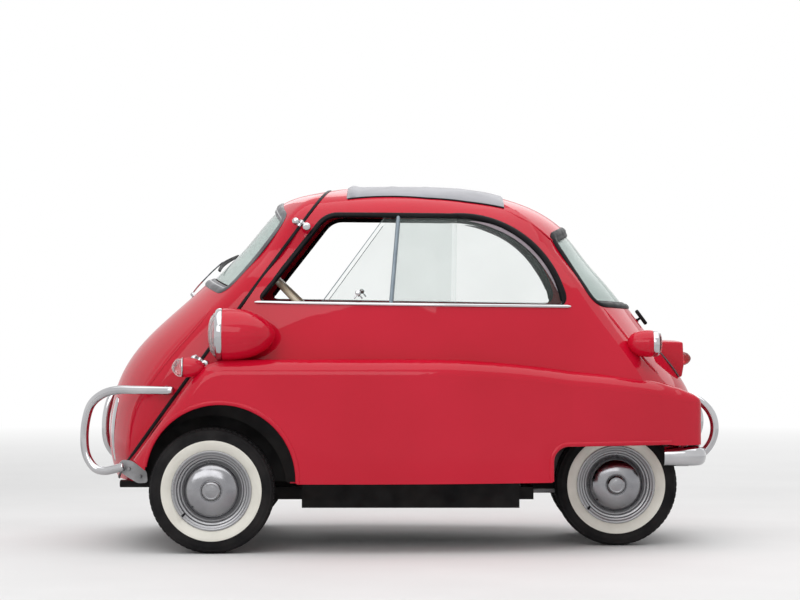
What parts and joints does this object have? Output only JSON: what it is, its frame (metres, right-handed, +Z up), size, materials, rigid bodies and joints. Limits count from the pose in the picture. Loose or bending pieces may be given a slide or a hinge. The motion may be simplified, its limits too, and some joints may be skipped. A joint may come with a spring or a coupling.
{
  "type": "bubble car",
  "caption": "Small egg-shaped two-seat car with one front door, steered front wheels, narrow rear track and folding roof.",
  "frame": {"origin": "on the floor below the middle of the car, midway along and across", "axes": "+X towards the tail, -Y the car's left side, +Z up"},
  "size_m": [2.4019, 1.4148, 1.3577],
  "materials": {
    "paint_red": "gloss",
    "chrome": "polished",
    "rubber_black": "matte",
    "tyre_black": "matte",
    "rim_silver": "satin",
    "glass_clear": "polished",
    "lens_clear": "polished",
    "lens_red": "polished",
    "frame_black": "satin",
    "cast_grey": "satin",
    "vinyl_grey": "matte",
    "seat_cloth": "matte",
    "ivory": "gloss",
    "axle_steel": "satin"
  },
  "bodies": {
    "body": {"side_panel_left": "paint_red", "side_panel_right": "paint_red", "roof_panel": "paint_red", "tail_panel": "paint_red", "fender_left": "paint_red", "fender_right": "paint_red", "wheel_wells": "frame_black", "floor_pan": "frame_black", "rear_bulkhead": "frame_black", "folding_roof": "vinyl_grey", "rear_window": "glass_clear", "rear_window_seal": "rubber_black", "side_window_frames": "rubber_black", "side_panes": "glass_clear", "chassis_frame": "frame_black", "nose_brackets": "frame_black", "front_axle": "axle_steel", "rear_axle": "cast_grey", "exhaust": "axle_steel", "engine_block": "cast_grey", "seat_base": "frame_black", "seat_cushion": "seat_cloth", "seat_back": "seat_cloth", "lamp_pods": "paint_red", "lamp_rings": "chrome", "headlamp_lenses": "lens_clear", "indicator_lenses": "lens_clear", "tail_lamp_lenses": "lens_red", "plate_box": "paint_red", "tail_handle": "rubber_black", "rear_bumper": "chrome", "hinges_body": "chrome"},
    "door": {"door_panel": "paint_red", "windscreen": "glass_clear", "windscreen_seal": "rubber_black", "dash_panel": "paint_red", "steering_column": "frame_black", "front_guards": "chrome", "hinges_door": "chrome"},
    "steering_wheel": {"steering_wheel": "ivory"},
    "engine_lid": {"engine_lid": "paint_red"},
    "knuckle_left": {"knuckle_left": "axle_steel"},
    "knuckle_right": {"knuckle_right": "axle_steel"},
    "wheel_front_left": {"tyre_front_left": "tyre_black", "rim_front_left": "rim_silver", "hubcap_front_left": "chrome"},
    "wheel_front_right": {"tyre_front_right": "tyre_black", "rim_front_right": "rim_silver", "hubcap_front_right": "chrome"},
    "rear_wheels": {"tyres_rear": "tyre_black", "rims_rear": "rim_silver", "hubcaps_rear": "chrome", "rear_shaft": "axle_steel"}
  },
  "joints": [
    {"name": "door_swing", "type": "hinge", "parent": "body", "child": "door", "pos_m": [-0.73814, -0.575, 0.702], "axis": [0.5871, 0.1187, 0.8008], "range_deg": [0, 75]},
    {"name": "steer_left", "type": "hinge", "parent": "body", "child": "knuckle_left", "pos_m": [-0.688, -0.53, 0.23], "axis": [0, 0, 1], "range_deg": [-25, 25]},
    {"name": "steer_right", "type": "hinge", "parent": "body", "child": "knuckle_right", "pos_m": [-0.688, 0.53, 0.23], "axis": [0, 0, 1], "range_deg": [-25, 25]},
    {"name": "steering_turn", "type": "hinge", "parent": "door", "child": "steering_wheel", "pos_m": [-0.356, -0.27, 0.856], "axis": [0.7071, 0, 0.7071], "range_deg": [-400, 400]},
    {"name": "lid_swing", "type": "hinge", "parent": "body", "child": "engine_lid", "pos_m": [0.46, 0.62632, 0.402], "axis": [-0.9765, 0.2156, 0], "range_deg": [0, 100]},
    {"name": "roll_front_left", "type": "hinge", "parent": "knuckle_left", "child": "wheel_front_left", "pos_m": [-0.688, -0.6, 0.23], "axis": [0, 1, 0], "continuous": true},
    {"name": "roll_front_right", "type": "hinge", "parent": "knuckle_right", "child": "wheel_front_right", "pos_m": [-0.688, 0.6, 0.23], "axis": [0, 1, 0], "continuous": true},
    {"name": "roll_rear", "type": "hinge", "parent": "body", "child": "rear_wheels", "pos_m": [0.812, 0, 0.23], "axis": [0, 1, 0], "continuous": true}
  ],
  "couplings": [
    {"joint": "steer_right", "follows": "steer_left", "ratio": 1},
    {"joint": "steering_turn", "follows": "steer_left", "ratio": 14}
  ]
}
